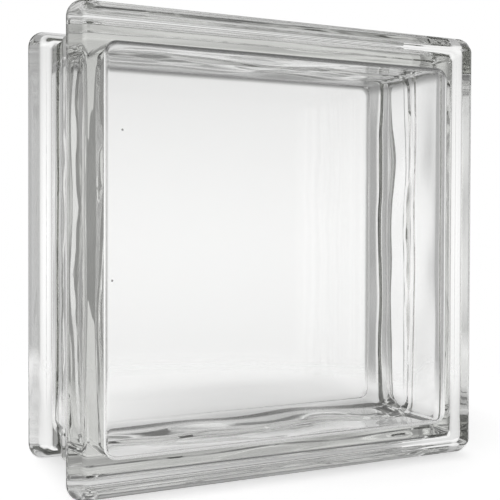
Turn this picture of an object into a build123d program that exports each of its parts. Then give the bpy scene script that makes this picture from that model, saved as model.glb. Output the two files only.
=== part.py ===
from build123d import *
from math import atan, degrees, radians, tan
import os

# A clear hollow glass block: two pressed halves fused at a seam into one piece of glass.
# The frame is X across the face, Y through the block and Z up, in millimetres.
# The origin is at the middle of the bottom, and the front face looks along -Y.
# An inset is measured in from the land, the widest line of the block, and a depth from the face.

# Outer size
SIDE = 190.0            # width and height, one 200 mm module less its 10 mm joint
DEPTH = 80.0            # from face to face
SEAM = DEPTH / 2        # where the two halves meet

# The flange of one half, with a soft bevel in front of its land and a drafted flank behind it
LAND_START = 6.0
LAND_END = 7.6
LAND_CORNER = 7.0       # corner radius of the land, seen from the front
BEVEL = 40.0            # lean of the bevel between the face and the land, in degrees
FLANK_DRAFT = 16.5      # lean of the flange behind the land, in degrees
FACE_EDGE = 2.6         # rounding between the face and the bevel
LIP = 18.0              # back edge of the flange
LIP_ROUND = 2.8         # rounding of the lip

# The mortar channel round the edge of the block
CHANNEL_INSET = 7.7     # how deep its floor lies under the land
CHANNEL_CORNER = 2.0    # corner radius of the floor
CHANNEL_ROUND = 2.4     # hollow rounding between the flange and the floor

# The sealed cavity, which widens towards the seam so that the plunger can leave it
PLATE = 8.0             # thickness of each face plate
CAVITY_INSET = 14.4     # from the land to the cavity wall, at the plate
CAVITY_CORNER = 5.5     # corner radius of the cavity at the plate
CAVITY_DRAFT = 3.0      # lean of the cavity wall, in degrees
CAVITY_ROUND = 4.0      # hollow rounding between the plate and the cavity wall

# The bead that the fused seam leaves inside and outside, by distance from the seam
BEAD_FOOT = 2.6         # the wall starts to swell here
BEAD_CROWN = 1.0        # the swelling is full here
BEAD_RISE = 0.9         # how far it stands out of the wall on each side
BEAD_ROUND = 0.9        # rounding of its crown
BEAD_SLOPE = degrees(atan(BEAD_RISE / (BEAD_FOOT - BEAD_CROWN)))

NEAR = 0.01             # how close an edge has to lie to count as being at a place


def ring(inset, corner, start, end, lean=0.0):
    """A rounded square slab from one depth to another, whose rim leans in as it goes."""
    width = SIDE - 2 * inset
    outline = Pos(0, 0, start) * RectangleRounded(width, width, corner)
    return extrude(outline, end - start, taper=lean)


def rim(solid, inset, depth):
    """The edges that run round a solid at one inset and one depth."""

    def at_inset(edge):
        box = edge.bounding_box()
        reach = max(-box.min.X, box.max.X, -box.min.Y, box.max.Y)
        return abs(reach - (SIDE / 2 - inset)) < NEAR

    level = solid.edges().filter_by_position(Axis.Z, depth - NEAR, depth + NEAR)
    return level.filter_by(at_inset)


def swollen(solid, inset, corner, slope):
    """A slab that ends at the foot of the bead, with half the bead added up to the seam."""
    crown_inset = inset + (BEAD_FOOT - BEAD_CROWN) * tan(radians(slope))
    crown_corner = corner - (crown_inset - inset)
    side = ring(inset, corner, SEAM - BEAD_FOOT, SEAM - BEAD_CROWN, slope)
    crown = ring(crown_inset, crown_corner, SEAM - BEAD_CROWN, SEAM)
    form = solid + side + crown
    return fillet(rim(form, crown_inset, SEAM - BEAD_CROWN), BEAD_ROUND)


def flange():
    """The wide rim of one half, filled in: bevelled to the land, then drafted to the lip."""
    face_inset = LAND_START * tan(radians(BEVEL))
    lip_inset = (LIP - LAND_END) * tan(radians(FLANK_DRAFT))
    bevel = ring(face_inset, LAND_CORNER - face_inset, 0, LAND_START, -BEVEL)
    land = ring(0, LAND_CORNER, LAND_START, LAND_END)
    flank = ring(0, LAND_CORNER, LAND_END, LIP, FLANK_DRAFT)
    form = fillet(rim(bevel + land + flank, face_inset, 0), FACE_EDGE)
    return fillet(rim(form, lip_inset, LIP), LIP_ROUND)


def outer_form():
    """The outside of one half: the flange, then the floor of the channel and half the bead."""
    form = flange() + ring(CHANNEL_INSET, CHANNEL_CORNER, PLATE, SEAM - BEAD_FOOT)
    form = fillet(rim(form, CHANNEL_INSET, LIP), CHANNEL_ROUND)
    return swollen(form, CHANNEL_INSET, CHANNEL_CORNER, -BEAD_SLOPE)


def cavity():
    """The hollow that the plunger leaves in one half, open at the seam."""
    hollow = ring(CAVITY_INSET, CAVITY_CORNER, PLATE, SEAM - BEAD_FOOT, -CAVITY_DRAFT)
    hollow = fillet(rim(hollow, CAVITY_INSET, PLATE), CAVITY_ROUND)
    widening = (SEAM - BEAD_FOOT - PLATE) * tan(radians(CAVITY_DRAFT))
    return swollen(hollow, CAVITY_INSET - widening, CAVITY_CORNER + widening, BEAD_SLOPE)


def pressed_half():
    """One half as it leaves the mould: a plate with a flange and a wall round it."""
    return outer_form() - cavity()


def glass_block():
    """Both halves, fused at the seam, then stood upright on the lands of the flanges."""
    front = pressed_half()
    back = mirror(front, about=Plane.XY.offset(SEAM))
    fused = front + back
    upright = Pos(0, -SEAM, SIDE / 2) * Rot(-90, 0, 0)
    return upright * fused


os.makedirs("parts", exist_ok=True)
block = glass_block()
block.label = "glass_block"
export_step(block, "parts/glass_block.step")
print("solids", len(block.solids()), "volume", round(block.volume), "size", block.bounding_box().size)
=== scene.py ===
# %% [markdown]
# # A clear glass block in bright light
#
# The object is one piece of glass: two pressed halves, fused while hot, with a sealed cavity
# between them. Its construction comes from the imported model. This script gives it the finish: a
# finely divided mesh, because glass shows every facet of its surface twice, then the glass
# itself, and a bright studio to see it in.

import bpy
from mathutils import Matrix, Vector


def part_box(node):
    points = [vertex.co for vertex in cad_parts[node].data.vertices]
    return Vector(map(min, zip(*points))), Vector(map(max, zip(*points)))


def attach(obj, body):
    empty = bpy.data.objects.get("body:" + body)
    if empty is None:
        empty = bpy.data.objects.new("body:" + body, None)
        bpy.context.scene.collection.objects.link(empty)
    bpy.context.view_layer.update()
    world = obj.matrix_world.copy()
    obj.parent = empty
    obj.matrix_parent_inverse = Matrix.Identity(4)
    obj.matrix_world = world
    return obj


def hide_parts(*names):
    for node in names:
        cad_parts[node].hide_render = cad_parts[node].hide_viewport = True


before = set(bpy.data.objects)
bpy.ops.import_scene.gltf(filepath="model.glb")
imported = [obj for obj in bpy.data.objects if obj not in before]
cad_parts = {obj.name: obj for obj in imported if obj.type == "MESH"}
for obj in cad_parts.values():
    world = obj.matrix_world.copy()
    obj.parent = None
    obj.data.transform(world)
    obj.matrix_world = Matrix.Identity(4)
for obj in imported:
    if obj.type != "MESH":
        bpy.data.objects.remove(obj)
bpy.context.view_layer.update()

# %% [markdown]
# ## Tools and sizes
#
# Everything below is worked out in metres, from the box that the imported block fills. Taking the
# side and the depth from the model, and not typing them again, keeps both in one place. The seam
# lies halfway through the block.

# %% Tools of the lesson
from math import atan2, cos, degrees, exp, radians, sin, tan

import bmesh
import bpy
from mathutils import Matrix, Vector, noise

MM = 0.001
LOW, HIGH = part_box("glass_block")
SIDE = HIGH.x - LOW.x
DEPTH = HIGH.y - LOW.y
SEAM = DEPTH / 2
print("side", round(SIDE / MM, 2), "depth", round(DEPTH / MM, 2), "mm")

# %% [markdown]
# ## The section of one half
#
# Every line round the block is a square with rounded corners, so the whole form is told by three
# numbers a line: its inset from the widest line, its corner radius, and its depth behind the
# face. These are the sizes of the mould: a bevelled rim, a narrow land that the block stands on,
# a drafted flank that ends in a lip, and then the mortar channel. They could be measured on the
# model's edges, but named sizes can be read and changed.

# %% The flange and the mortar channel
LAND_START = 6.0 * MM
LAND_END = 7.6 * MM
LAND_CORNER = 7.0 * MM
BEVEL = radians(40.0)
FLANK_DRAFT = radians(16.5)
LIP = 18.0 * MM
STEP_DRAFT = 0.5 * MM
CHANNEL_INSET = 7.7 * MM
CHANNEL_CORNER = 2.0 * MM
FACE_INSET = LAND_START * tan(BEVEL)
LIP_INSET = (LIP - LAND_END) * tan(FLANK_DRAFT)
print("the face starts", round(FACE_INSET / MM, 2), "mm in, the lip", round(LIP_INSET / MM, 2))

# %% [markdown]
# ## The bead of the seam
#
# Where the halves melt together, the glass wells out into a low bead, outside and inside. Each
# half carries half of it: it leaves the wall at its foot, climbs to its crown and runs on to the
# seam. It could be laid on later as a ring of its own, but then it wouldn't melt into the walls.

# %% Half a bead, and the eight lines of the outside
BEAD_FOOT = 2.6 * MM
BEAD_CROWN = 1.0 * MM
BEAD_RISE = 0.9 * MM
BEAD_SLOPE = atan2(BEAD_RISE, BEAD_FOOT - BEAD_CROWN)
FOOT = SEAM - BEAD_FOOT
CROWN = SEAM - BEAD_CROWN
OUTSIDE = [
    (FACE_INSET, LAND_CORNER - FACE_INSET, 0.0),
    (0.0, LAND_CORNER, LAND_START),
    (0.0, LAND_CORNER, LAND_END),
    (LIP_INSET, LAND_CORNER - LIP_INSET, LIP),
    (CHANNEL_INSET, CHANNEL_CORNER, LIP + STEP_DRAFT),
    (CHANNEL_INSET, CHANNEL_CORNER, FOOT),
    (CHANNEL_INSET - BEAD_RISE, CHANNEL_CORNER + BEAD_RISE, CROWN),
    (CHANNEL_INSET - BEAD_RISE, CHANNEL_CORNER + BEAD_RISE, SEAM),
]
print(len(OUTSIDE), "lines outside; the bead climbs at", round(degrees(BEAD_SLOPE)), "degrees")

# %% [markdown]
# ## The cavity's section
#
# A plunger presses the cavity into the half. It has to come out again, so the wall leans away
# from it a little, and the cavity is widest at the seam. There the inner bead narrows it again.

# %% The plate and the wall of the cavity
PLATE = 8.0 * MM
CAVITY_INSET = 14.4 * MM
CAVITY_CORNER = 5.5 * MM
CAVITY_DRAFT = radians(3.0)
WALL_INSET = CAVITY_INSET - (FOOT - PLATE) * tan(CAVITY_DRAFT)
WALL_CORNER = CAVITY_CORNER + CAVITY_INSET - WALL_INSET
INSIDE = [
    (CAVITY_INSET, CAVITY_CORNER, PLATE),
    (WALL_INSET, WALL_CORNER, FOOT),
    (WALL_INSET + BEAD_RISE, WALL_CORNER - BEAD_RISE, CROWN),
    (WALL_INSET + BEAD_RISE, WALL_CORNER - BEAD_RISE, SEAM),
]
print(len(INSIDE), "lines inside; the wall is", round((WALL_INSET - CHANNEL_INSET) / MM, 1), "mm")

# %% [markdown]
# ## A line round the block
#
# A line starts as a single square face. Bevelling its four vertices rounds the corners with true
# arcs, and cutting its long edges gives the points that later let the wall waver. A curve object
# would draw the same line, but a face is at once ready to be bridged to the next one.

# %% A rounded line as one face
CORNER_STEPS = 12
SIDE_STEPS = 44


def line_round(bm, inset, corner, depth):
    """A rounded square as one face, standing at this depth behind the front face."""
    place = Matrix.Translation((0, LOW.y + depth, SIDE / 2)) @ Matrix.Rotation(radians(90), 4, "X")
    square = bmesh.ops.create_grid(bm, x_segments=1, y_segments=1, size=SIDE / 2 - inset,
                                   matrix=place)
    rounded = bmesh.ops.bevel(bm, geom=square["verts"], offset=corner, offset_type="OFFSET",
                              segments=CORNER_STEPS, profile=0.5, affect="VERTICES",
                              clamp_overlap=False, material=-1)
    face = rounded["verts"][0].link_faces[0]
    sides = [edge for edge in face.edges if edge.calc_length() > SIDE / 4]
    bmesh.ops.subdivide_edges(bm, edges=sides, cuts=SIDE_STEPS - 1)
    return face


print("a line has", 4 * (CORNER_STEPS + SIDE_STEPS), "points")

# %% [markdown]
# ## Walls between the lines
#
# Two lines of equal count are joined by a bridge. This is quicker and cleaner than extruding one
# line into the next, because every line may have its own corner radius. Long steps are cut, so
# that the wall has points enough to waver. Only the first face stays: it is the pane.

# %% A row of lines becomes walls
LONGEST_STEP = 5 * MM


def walls(bm, lines):
    """Joins a row of lines with walls, and gives back the edge loops of the lines."""
    faces = [line_round(bm, *line) for line in lines]
    loops = [list(face.edges) for face in faces]
    bmesh.ops.delete(bm, geom=faces[1:], context="FACES_ONLY")
    for near, far in zip(loops, loops[1:]):
        rungs = bmesh.ops.bridge_loops(bm, edges=near + far)["edges"]
        cuts = int(rungs[0].calc_length() / LONGEST_STEP)
        if cuts:
            bmesh.ops.subdivide_edges(bm, edges=rungs, cuts=cuts)
    return loops


print("walls are cut every", LONGEST_STEP / MM, "mm")

# %% [markdown]
# ## Rounding the lines
#
# Hot glass has no sharp line anywhere. Each line is rounded with an edge bevel. The bevel wants
# the distance that it cuts back on each side, so the radius of the mould is turned into that
# setback from the angle of the corner. A Bevel modifier would give every line the same width.

# %% A bevel by its radius
RIGHT_ANGLE = radians(90)


def round_line(bm, edges, radius, turn, segments):
    """Rounds a line whose two sides meet at this turn, to the mould's radius."""
    setback = radius * tan(turn / 2)
    bmesh.ops.bevel(bm, geom=edges, offset=setback, offset_type="OFFSET", segments=segments,
                    profile=0.5, affect="EDGES", clamp_overlap=False, loop_slide=True, material=-1)


print("at a square corner a radius of 1 mm cuts back", round(tan(RIGHT_ANGLE / 2), 3), "mm")

# %% [markdown]
# ## A flat pane
#
# The pane is the flat middle of a face plate. As one big face with many sides it would be shaded
# unevenly, and that shows at once in a reflection. So it gets a narrow border, which keeps the
# shading of the rounding away from it, and inside the border a plain grid.

# %% A border and a grid for the pane
PANE_BORDER = 0.5 * MM


def steady_pane(bm):
    """Gives the pane a narrow border and a grid, and gives back the count of its faces."""
    pane = max(bm.faces, key=lambda face: face.calc_area())
    bmesh.ops.inset_region(bm, faces=[pane], thickness=PANE_BORDER, use_even_offset=True)
    centre = Vector((0, 0, SIDE / 2))
    middles = {edge: (edge.verts[0].co + edge.verts[1].co) / 2 - centre for edge in pane.edges}
    top_and_bottom = [edge for edge, middle in middles.items() if abs(middle.z) > abs(middle.x)]
    bmesh.ops.delete(bm, geom=[pane], context="FACES_ONLY")
    return len(bmesh.ops.grid_fill(bm, edges=top_and_bottom, mat_nr=0)["faces"])


print("the pane's border is", PANE_BORDER / MM, "mm wide")

# %% [markdown]
# ## The twin
#
# The real halves come out of one mould, so the second half is the mirror image of the first. Its
# points meet those of the first at the seam and melt into them there. What is then closed can
# also tell its inside from its outside: the outer skin faces the air round the block, and the
# skin of the cavity faces the air in it. The sign of the volume says which way a skin looks.

# %% A half closed by its mirror image
WELD = 0.01 * MM


def close_with_twin(bm, outwards):
    """Mirrors the half at the seam, fuses it to its twin and turns all faces to the air."""
    everything = bm.verts[:] + bm.edges[:] + bm.faces[:]
    bmesh.ops.mirror(bm, geom=everything, matrix=Matrix.Identity(4), merge_dist=WELD, axis="Y")
    bmesh.ops.recalc_face_normals(bm, faces=bm.faces[:])
    if (bm.calc_volume(signed=True) > 0) != outwards:
        bmesh.ops.reverse_faces(bm, faces=bm.faces[:])


print("points closer than", WELD / MM, "mm melt together")

# %% [markdown]
# ## The outside
#
# The outside of the real block is the print of the mould. Eight lines tell it, from the edge of
# the face over the land and the lip down into the mortar channel, and on to the bead. Each gets
# the rounding that the mould has there. Cutting the form from a solid box would need a dozen
# Booleans and leave ragged faces. Bridged lines leave only clean strips.

# %% The outside, rounded and mirrored
FACE_EDGE = 2.6 * MM
LAND_FRONT_ROUND = 2.2 * MM
LAND_BACK_ROUND = 2.5 * MM
LIP_ROUND = 2.8 * MM
CHANNEL_ROUND = 2.4 * MM
BEAD_FOOT_ROUND = 1.2 * MM
BEAD_ROUND = 0.9 * MM

outside = bmesh.new()
face_line, land_front, land_back, lip, channel, foot, crown, _ = walls(outside, OUTSIDE)
round_line(outside, face_line, FACE_EDGE, RIGHT_ANGLE - BEVEL, segments=8)
round_line(outside, land_front, LAND_FRONT_ROUND, BEVEL, segments=6)
round_line(outside, land_back, LAND_BACK_ROUND, FLANK_DRAFT, segments=3)
round_line(outside, lip, LIP_ROUND, RIGHT_ANGLE - FLANK_DRAFT, segments=8)
round_line(outside, channel, CHANNEL_ROUND, RIGHT_ANGLE, segments=8)
round_line(outside, foot, BEAD_FOOT_ROUND, BEAD_SLOPE, segments=3)
round_line(outside, crown, BEAD_ROUND, BEAD_SLOPE, segments=4)
pane_faces = steady_pane(outside)
close_with_twin(outside, outwards=True)
full = outside.calc_volume(signed=True) / MM ** 3
print("outside:", len(outside.faces), "faces, each pane", pane_faces, "of them")
print("the outside encloses", round(full), "cubic mm")

# %% [markdown]
# ## The cavity
#
# The hollow is the print of the plunger. It is a second closed skin within the first. Cutting it
# out with a Boolean would leave long thin faces, which glass shows as scratches. Instead its
# faces are turned towards the air inside, and that is all a renderer needs to know where the
# glass ends. The line round the pane is kept crisper than in the model, because it draws the
# clear edge of the pane that the photo shows.

# %% The cavity, rounded, mirrored and turned to face the air inside
PANE_ROUND = 2.2 * MM

inside = bmesh.new()
pane_line, foot, crown, _ = walls(inside, INSIDE)
round_line(inside, pane_line, PANE_ROUND, RIGHT_ANGLE - CAVITY_DRAFT, segments=8)
round_line(inside, foot, BEAD_FOOT_ROUND, BEAD_SLOPE, segments=3)
round_line(inside, crown, BEAD_ROUND, BEAD_SLOPE, segments=4)
pane_faces = steady_pane(inside)
close_with_twin(inside, outwards=False)
hollow = inside.calc_volume(signed=True) / MM ** 3
print("inside:", len(inside.faces), "faces, each pane", pane_faces, "of them")
print("the glass left between the skins is", round(full + hollow), "cubic mm")

# %% [markdown]
# ## Walls that waver
#
# A mould is exact, but glass isn't: it freezes first where it touches cold iron, and the plunger
# drags it. So the faces come out flat, while the walls waver by up to a millimetre and a half.
# This decides how the block looks, because every wall is seen through another one: it breaks the
# rims into flowing bands of light and dark. A bump could bend the light, but it can't move a
# wall. So the points of the wall are moved by a soft three-dimensional noise, which fades out at
# the panes and at the lands. The left wall stays calmer, since its bands run straight in the
# photo.

# %% A soft noise that moves the walls
CALM_LEFT = 0.3
ACROSS_WALL = 1.6


def soft(value, start, end):
    """Goes softly from 0 to 1 while the value goes from start to end."""
    share = min(max((value - start) / (end - start), 0.0), 1.0)
    return share * share * (3 - 2 * share)


def waver(bm, start, full, height, length, phase):
    """Moves the walls sideways by a noise that begins at one depth and is full at another."""
    bm.normal_update()
    most = 0.0
    for vert in bm.verts:
        depth = SEAM - abs(vert.co.y)
        sideways = Vector((vert.normal.x, 0, vert.normal.z))
        place = Vector((vert.co.x, vert.co.y * ACROSS_WALL, vert.co.z)) / length
        calm = CALM_LEFT + (1 - CALM_LEFT) * soft(vert.co.x, LOW.x, LOW.x / 2)
        wave = noise.noise(place + Vector((phase, 0, phase)))
        move = height * calm * soft(depth, start, full) * wave
        vert.co += sideways * move
        most = max(most, abs(move))
    return most


cavity_move = waver(inside, start=PLATE + 1 * MM, full=PLATE + 9 * MM, height=2.0 * MM,
                    length=36 * MM, phase=3.7)
channel_move = waver(outside, start=LIP + 1 * MM, full=LIP + 7 * MM, height=0.9 * MM,
                     length=34 * MM, phase=8.1)
print("the cavity wavers by", round(cavity_move / MM, 2), "mm,",
      "the channel by", round(channel_move / MM, 2), "mm")

# %% [markdown]
# ## An uneven bead
#
# The seam is closed by heat and pressure, and no two places of it get the same. So the bead
# swells and shrinks on its way round. It is the same trick as for the walls, with shorter waves
# and only close to the seam, because the waves of the walls are too long to break up a thin line.

# %% The bead swells and shrinks
def uneven_bead(bm, height, length, phase):
    """Lets the fused seam swell and shrink on its way round the block."""
    bm.normal_update()
    for vert in bm.verts:
        near_seam = 1 - soft(abs(vert.co.y), 0.3 * BEAD_CROWN, BEAD_FOOT)
        sideways = Vector((vert.normal.x, 0, vert.normal.z))
        place = Vector((vert.co.x, 0, vert.co.z)) / length
        wave = noise.noise(place + Vector((0, phase, 0)))
        vert.co += sideways * height * near_seam * wave


uneven_bead(inside, height=1.1 * MM, length=11 * MM, phase=1.3)
uneven_bead(outside, height=0.6 * MM, length=9 * MM, phase=5.9)
uneven = full - outside.calc_volume(signed=True) / MM ** 3
print("the uneven walls change the outside by", round(uneven), "cubic mm")

# %% [markdown]
# ## Seeds
#
# Pressed glass keeps a few small bubbles, which glassmakers call seeds. Two show in the front
# plate, near the left edge of the pane. A painted dot would stay dull from every side, but a
# bubble bends the light. It is a hole in the glass like the cavity, so each seed is a little
# sphere whose faces look inwards.

# %% Two seeds in the front plate
SEED_RADIUS = 0.45 * MM
SEED_DEPTH = 1.5 * MM
SEEDS = [(-75 * MM, 141 * MM), (-79 * MM, 84 * MM)]
for across, up in SEEDS:
    spot = Matrix.Translation((across, LOW.y + SEED_DEPTH, up))
    seed = bmesh.ops.create_icosphere(inside, subdivisions=3, radius=SEED_RADIUS, matrix=spot)
    shell = {face for vert in seed["verts"] for face in vert.link_faces}
    bmesh.ops.reverse_faces(inside, faces=list(shell))
print(len(SEEDS), "seeds of", round(2 * SEED_RADIUS / MM, 1), "mm")

# %% [markdown]
# ## One piece of glass
#
# The fused block is one piece, so both skins go into one mesh and one object. All faces are
# shaded smooth, because every line has a real rounding. The weighted normals let the large flat
# faces decide the shading at their border, so that the roundings don't pull a pane out of flat.
# Two objects would make two pieces of what is one.

# %% One mesh for one piece of glass
cavity_mesh = bpy.data.meshes.new("cavity")
inside.to_mesh(cavity_mesh)
outside.from_mesh(cavity_mesh)
for face in outside.faces:
    face.smooth = True
glass_mesh = bpy.data.meshes.new("clear_block")
outside.to_mesh(glass_mesh)
inside.free()
outside.free()
bpy.data.meshes.remove(cavity_mesh)

block = bpy.data.objects.new("clear_block", glass_mesh)
bpy.context.scene.collection.objects.link(block)
even_shading = block.modifiers.new("even_shading", "WEIGHTED_NORMAL")
even_shading.mode = "FACE_AREA"
even_shading.weight = 50
even_shading.keep_sharp = False
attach(block, "root")
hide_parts("glass_block")
print("the block has", sum(len(face.vertices) - 2 for face in glass_mesh.polygons), "triangles")

# %% [markdown]
# ## Values that can be added up
#
# The glass and the studio follow small formulas of place and direction. Wired by hand, each sign
# of such a formula is a node, and the formula is lost. So one small class wraps a socket and
# gives it the usual operators.

# %% A socket that can be used in a formula
class Value:
    """A socket that can be used in a formula."""

    def __init__(self, web, socket):
        self.web = web
        self.socket = socket

    def maths(self, operation, first, second=0.0):
        """Makes a Math node of one or two values."""
        return self.web.add("ShaderNodeMath", {"operation": operation}, {0: first, 1: second})

    def __add__(self, other):
        return self.maths("ADD", self, other)

    def __radd__(self, other):
        return self.maths("ADD", other, self)

    def __sub__(self, other):
        return self.maths("SUBTRACT", self, other)

    def __rsub__(self, other):
        return self.maths("SUBTRACT", other, self)

    def __mul__(self, other):
        return self.maths("MULTIPLY", self, other)

    def __rmul__(self, other):
        return self.maths("MULTIPLY", other, self)

    def __truediv__(self, other):
        return self.maths("DIVIDE", self, other)

    def __pow__(self, other):
        return self.maths("POWER", self, other)

    def __abs__(self):
        return self.maths("ABSOLUTE", self)

    def or_more(self, other):
        """The larger one of two values."""
        return self.maths("MAXIMUM", self, other)


# %% [markdown]
# ## One way to make a node
#
# Every node that isn't a sign of a formula comes from one method. It gets the node's type, its
# settings, which have to be there first, and then what its sockets get: a number, a colour or a
# link. Two short forms for the nodes used most, a soft step and the parts of a vector, keep the
# materials below readable.

# %% A node tree that takes formulas
class Web:
    """A node tree, and the one way in which nodes come into it."""

    def __init__(self, owner):
        owner.use_nodes = True
        self.tree = owner.node_tree

    def add(self, kind, settings=None, sockets=None, output=0):
        """Makes one node: first its settings, then the values or links of its sockets."""
        node = self.tree.nodes.new(kind)
        for name, value in (settings or {}).items():
            setattr(node, name, value)
        for name, value in (sockets or {}).items():
            self.give(node.inputs[name], value)
        return Value(self, node.outputs[output])

    def give(self, socket, value):
        """Links a value to a socket, or writes a plain number or colour on it."""
        if isinstance(value, Value):
            self.tree.links.new(value.socket, socket)
        else:
            socket.default_value = value

    def step(self, value, start, end, low=0.0, high=1.0):
        """Goes softly from low to high while the value goes from start to end."""
        return self.add("ShaderNodeMapRange", {"interpolation_type": "SMOOTHSTEP"},
                        {"Value": value, "From Min": start, "From Max": end,
                         "To Min": low, "To Max": high})

    def parts(self, vector):
        """The three numbers of a vector."""
        split = self.add("ShaderNodeSeparateXYZ", sockets={"Vector": vector}).socket.node
        return [Value(self, output) for output in split.outputs]


# %% [markdown]
# ## The glass
#
# The real block is clear soda glass with a trace of iron. Through a face it looks colourless,
# but light that runs along a rim crosses ten times as much glass, so the rims look grey. A tinted
# surface would colour face and rim alike. Absorption inside the volume does what the real glass
# does: it counts the way that the light has gone.

# %% Clear glass with a trace of iron
REFRACTION = 1.52
LOSS_PER_METRE = Vector((6.3, 6.2, 6.6))
DENSITY = 10.0

glass = bpy.data.materials.new("clear_pressed_glass")
web = Web(glass)
shader = web.tree.nodes["Principled BSDF"]
shader.inputs["Base Color"].default_value = (1, 1, 1, 1)
shader.inputs["Roughness"].default_value = 0.0
shader.inputs["IOR"].default_value = REFRACTION
shader.inputs["Transmission Weight"].default_value = 1.0

tint = [1 - loss / DENSITY for loss in LOSS_PER_METRE]
body = web.add("ShaderNodeVolumeAbsorption", sockets={"Color": (*tint, 1), "Density": DENSITY})
web.give(web.tree.nodes["Material Output"].inputs["Volume"], body)
glass_mesh.materials.append(glass)
through_face = exp(-LOSS_PER_METRE.y * 2 * PLATE)
through_rim = exp(-LOSS_PER_METRE.y * SIDE / 2)
print("both plates pass", round(through_face, 2), "and half a rim's length", round(through_rim, 2))

# %% [markdown]
# ## The skin of the glass
#
# The surface is fire polished, so it has no roughness. What it does have is a faint unevenness
# from the chilled mould. It is far too shallow for the mesh, so it is left to a bump.

# %% A faint unevenness
RIPPLES_PER_METRE = 55.0
RIPPLE_HEIGHT = 0.05 * MM
place = web.add("ShaderNodeTexCoord", output="Object")
ripple = web.add("ShaderNodeTexNoise",
                 sockets={"Vector": place, "Scale": RIPPLES_PER_METRE, "Detail": 1.0})
skin = web.add("ShaderNodeBump",
               sockets={"Height": ripple, "Distance": RIPPLE_HEIGHT, "Strength": 1.0})
web.give(shader.inputs["Normal"], skin)
print("ripples", round(1 / RIPPLES_PER_METRE / MM), "mm long and", RIPPLE_HEIGHT / MM, "mm high")

# %% [markdown]
# ## The floor
#
# A pale round table top. The block needs it twice: to stand on, and to be seen in, because the
# lower rim of a glass block shows mostly the table. A flat disc is all it takes. It lies a hair
# under the lands, so that the two surfaces never fight for the same place.

# %% A round table top
TABLE_RADIUS = 0.32
TABLE_DROP = 0.02 * MM
table_bm = bmesh.new()
bmesh.ops.create_circle(table_bm, cap_ends=True, radius=TABLE_RADIUS, segments=96,
                        matrix=Matrix.Translation((0, 0, -TABLE_DROP)))
table_mesh = bpy.data.meshes.new("table")
table_bm.to_mesh(table_mesh)
table_bm.free()
table = bpy.data.objects.new("table", table_mesh)
bpy.context.scene.collection.objects.link(table)
print("table of", round(2 * TABLE_RADIUS, 2), "m across")

# %% [markdown]
# ## The table's painted glow and painted shadows
#
# The table glows with a little painted light, as a light table would, so that it melts into the
# white behind it. Under the block and behind it the glow is painted weaker: a painted contact
# shadow, and a painted soft shadow laid as if the key light stood at the camera. This painted
# shadow darkens the lower end of the pane. A lamp would draw a real shadow by itself, but through
# glass it would come with a pattern of bright lines that needs many more samples.

# %% How much the table glows: a painted glow with a painted contact shadow and a painted shadow
UNDER_BLOCK = 0.42
GLOW_IN_PAINTED_CONTACT_SHADOW = 0.72
PAINTED_CONTACT_SHADOW_WIDTH = 16 * MM
PAINTED_SHADOW_CENTRE = Vector((50 * MM, 70 * MM))
PAINTED_SHADOW_CORE = 30 * MM
PAINTED_SHADOW_END = 150 * MM
GLOW_IN_PAINTED_SHADOW = 0.52
PAINTED_GLOW = 0.8

pale = bpy.data.materials.new("pale_table")
web = Web(pale)
x, y, _ = web.parts(web.add("ShaderNodeTexCoord", output="Object"))
beside = (abs(x) - UNDER_BLOCK * SIDE).or_more(0.0)
before = (abs(y) - UNDER_BLOCK * DEPTH).or_more(0.0)
clear_of_block = (beside * beside + before * before) ** 0.5
# Painted contact shadow: the painted glow drops under the block and just round its foot.
painted_contact_shadow = web.step(clear_of_block, 0.0, PAINTED_CONTACT_SHADOW_WIDTH, GLOW_IN_PAINTED_CONTACT_SHADOW, 1.0)
# Painted soft shadow: the painted glow drops round a spot behind the block, as if lit from the
# camera.
from_painted_shadow = ((x - PAINTED_SHADOW_CENTRE.x) * (x - PAINTED_SHADOW_CENTRE.x) + (y - PAINTED_SHADOW_CENTRE.y) * (y - PAINTED_SHADOW_CENTRE.y)) ** 0.5
painted_glow = painted_contact_shadow * web.step(from_painted_shadow, PAINTED_SHADOW_CORE, PAINTED_SHADOW_END, GLOW_IN_PAINTED_SHADOW, PAINTED_GLOW)
print("the table glows with", PAINTED_GLOW, "and with", GLOW_IN_PAINTED_SHADOW, "in the shadow")

# %% [markdown]
# ## The table's finish
#
# A matt pale top that ends nowhere: from halfway out it fades into the white room, so no edge
# draws a line behind the block. An endless floor would do that too, but it would fill the lower
# half of all that the glass shows.

# %% A matt top that fades out
FADE_START = 0.5 * TABLE_RADIUS
FADE_END = 0.95 * TABLE_RADIUS
shader = web.tree.nodes["Principled BSDF"]
shader.inputs["Base Color"].default_value = (0.88, 0.88, 0.88, 1)
shader.inputs["Roughness"].default_value = 0.7
shader.inputs["Specular IOR Level"].default_value = 0.2
shader.inputs["Emission Strength"].default_value = 1.0
# The emission carries the painted glow, with its painted contact shadow and painted soft shadow.
web.give(shader.inputs["Emission Color"], painted_glow)

gone = web.step((x * x + y * y) ** 0.5, FADE_START, FADE_END)
surface = Value(web, shader.outputs["BSDF"])
nothing = web.add("ShaderNodeBsdfTransparent")
faded = web.add("ShaderNodeMixShader", sockets={0: gone, 1: surface, 2: nothing})
web.give(web.tree.nodes["Material Output"].inputs["Surface"], faded)
table_mesh.materials.append(pale)
print("the top fades from", FADE_START, "to", round(FADE_END, 3), "m")

# %% [markdown]
# ## The camera
#
# The photo is taken from close by, a little left of the block and at about the height of its
# middle, so the rims run together strongly to the right. Its place, turn and lens were found by
# fitting the outline of the block. The frame was then cropped, which a lens shift repeats. Turning
# the camera instead would bend the upright edges together.

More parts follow.
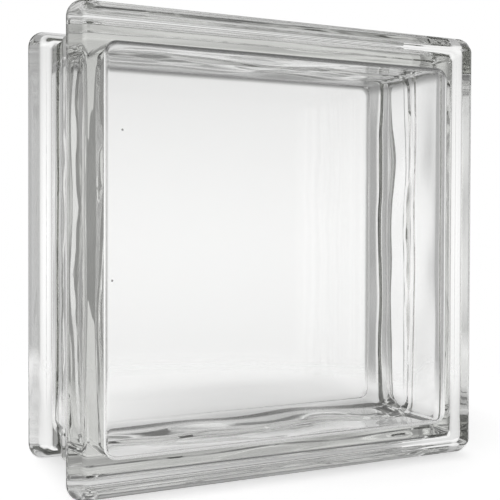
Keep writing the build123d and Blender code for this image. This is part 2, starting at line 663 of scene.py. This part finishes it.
# %% The camera in the photo's place
EYE = Vector((-0.1789, -0.3589, 0.1084))
YAW = radians(24.51)
PITCH = radians(-0.88)
ROLL = radians(0.16)
camera_data = bpy.data.cameras.new("camera")
camera_data.lens = 63.6
camera_data.sensor_width = 36.0
camera_data.shift_x = 0.0537
camera_data.shift_y = -0.0402
camera_data.clip_start = 0.01
camera = bpy.data.objects.new("camera", camera_data)
look = Vector((sin(YAW) * cos(PITCH), cos(YAW) * cos(PITCH), sin(PITCH)))
turn = look.to_track_quat("-Z", "Y").to_matrix() @ Matrix.Rotation(ROLL, 3, "Z")
camera.rotation_euler = turn.to_euler()
camera.location = EYE
bpy.context.scene.collection.objects.link(camera)
bpy.context.scene.camera = camera
distance = (EYE - Vector((0, 0, SIDE / 2))).length
print("camera", round(distance, 3), "m from the middle of the block")

# %% [markdown]
# ## The studio's panels
#
# Glass has no look of its own: it shows the room. A white room gives a block without edges. So
# photographers put a bright panel behind the glass and keep the rest of the room grey: then a
# face shows the panel, and each rim and rounding, which looks aside, draws itself dark. A strong
# key light stands behind the camera and lifts the walls that throw light back, and a softer light
# on each side keeps the block readable from there. Lamps would do the same, but they would have
# to be hidden from the glass. Here the sky itself carries the panels, as soft patches round four
# headings.

# %% Backdrop, key light and side lights
PANEL_EDGE = cos(radians(33))
PANEL_TOP = sin(radians(-3)), sin(radians(34))
PANEL_FOOT = sin(radians(-40)), sin(radians(-1))
BACKDROP, KEY_LIGHT, SIDE_LIGHT = 0.68, 1.2, 0.8
DIM = 0.1

world = bpy.data.worlds.new("studio")
bpy.context.scene.world = world
web = Web(world)
x, y, z = web.parts(web.add("ShaderNodeTexCoord", output="Generated"))
level = (x * x + y * y) ** 0.5
ahead = (x * sin(YAW) + y * cos(YAW)) / level
aside = abs(x * cos(YAW) - y * sin(YAW)) / level
backdrop = web.step(ahead, PANEL_EDGE, 1.0)
key_light = web.step(0 - ahead, PANEL_EDGE, 1.0)
side_lights = web.step(aside, PANEL_EDGE, 1.0)
under_top = web.step(z, *PANEL_TOP, 1.0, DIM)
over_foot = web.step(z, *PANEL_FOOT, DIM, 1.0)
around = BACKDROP * backdrop + KEY_LIGHT * key_light + SIDE_LIGHT * side_lights
panels = around * under_top * over_foot
print("panels of", len(web.tree.nodes), "nodes")

# %% [markdown]
# ## The grey room
#
# Between the panels the room is grey, and its ceiling is dark, so that the upper roundings draw
# thin lines. Seen directly, the room is plain white instead, as in a picture for a catalogue,
# where the object is cut out. A film with a transparent background would do that as well, but
# then the white table would end in nothing.

# %% Grey for the glass, white for the camera
ROOM, CEILING = 0.45, 0.1
CEILING_START, CEILING_FULL = 0.1, 0.95
room = web.step(z, CEILING_START, CEILING_FULL, ROOM, CEILING)
light = room + panels
seen = web.add("ShaderNodeLightPath", output="Is Camera Ray")
radiance = seen + light * (1 - seen)
web.give(web.tree.nodes["Background"].inputs["Color"], radiance)
web.tree.nodes["Background"].inputs["Strength"].default_value = 1.0
print("room", ROOM, "and ceiling", CEILING, "against a white of 1")

# %% [markdown]
# ## Colours and bounces
#
# The photo's white is plain white, and so the colours go out unchanged. A film-like view would
# turn the white grey. Light crosses many walls before it leaves the block, and where the bounces
# run out glass turns black, so it gets plenty of them.

# %% Plain colours and many bounces
THROUGH_GLASS = 32
ON_GLOSS = 16
scene = bpy.context.scene
scene.view_settings.view_transform = "Standard"
scene.cycles.max_bounces = THROUGH_GLASS
scene.cycles.transmission_bounces = THROUGH_GLASS
scene.cycles.glossy_bounces = ON_GLOSS
scene.cycles.use_denoising = True
print("bounces:", THROUGH_GLASS, "through glass and", ON_GLOSS, "on gloss")
